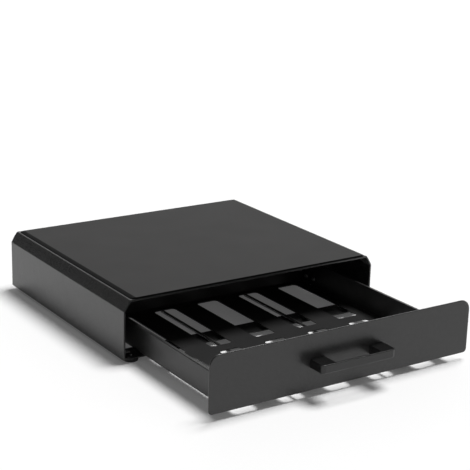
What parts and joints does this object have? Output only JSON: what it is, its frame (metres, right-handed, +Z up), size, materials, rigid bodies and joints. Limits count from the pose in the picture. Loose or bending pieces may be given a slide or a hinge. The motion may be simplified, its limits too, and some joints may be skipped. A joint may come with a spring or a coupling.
{
  "type": "coffee pod drawer",
  "caption": "Low black sheet-steel cabinet with a rubber-topped flat top and a pull-out tray of slotted lanes behind a bar handle.",
  "frame": {"origin": "on the floor, under the middle of the whole outline with the tray part way out as in the picture", "axes": "+Z up, +X to the right as seen from the front, -Y out of the front where the handle is; the tray slides along Y"},
  "size_m": [0.36, 0.5124, 0.0795],
  "materials": {
    "black_paint": "black powder coat with a soft sheen on folded steel",
    "mat_rubber": "matte black rubber sheet",
    "foot_rubber": "matte black moulded rubber",
    "handle_plastic": "moulded black plastic with a satin skin",
    "nylon": "natural nylon, slightly waxy",
    "runner_wire": "drawn steel wire under clear lacquer",
    "zinc": "zinc-plated steel"
  },
  "bodies": {
    "cabinet": {"back_rivets": "zinc", "cabinet_back": "black_paint", "cabinet_shell": "black_paint", "foot_front_left": "foot_rubber", "foot_front_right": "foot_rubber", "foot_rear_left": "foot_rubber", "foot_rear_right": "foot_rubber", "foot_screws": "zinc", "front_crossbar": "black_paint", "rail_stop_left": "nylon", "rail_stop_right": "nylon", "rear_bumper_left": "foot_rubber", "rear_bumper_right": "foot_rubber", "rear_crossbar": "black_paint", "runner_rail_left": "black_paint", "runner_rail_right": "black_paint", "top_mat": "mat_rubber"},
    "drawer": {"drawer_front": "black_paint", "drawer_tray": "black_paint", "front_studs": "zinc", "glide_left": "nylon", "glide_right": "nylon", "glide_rivets": "zinc", "handle": "handle_plastic", "handle_screws": "zinc", "runner_left": "runner_wire", "runner_right": "runner_wire"}
  },
  "joints": [
    {"name": "drawer_slide", "type": "slide", "parent": "cabinet", "child": "drawer", "axis": [0, 1, 0], "range_m": [-0.039, 0.1795]}
  ]
}
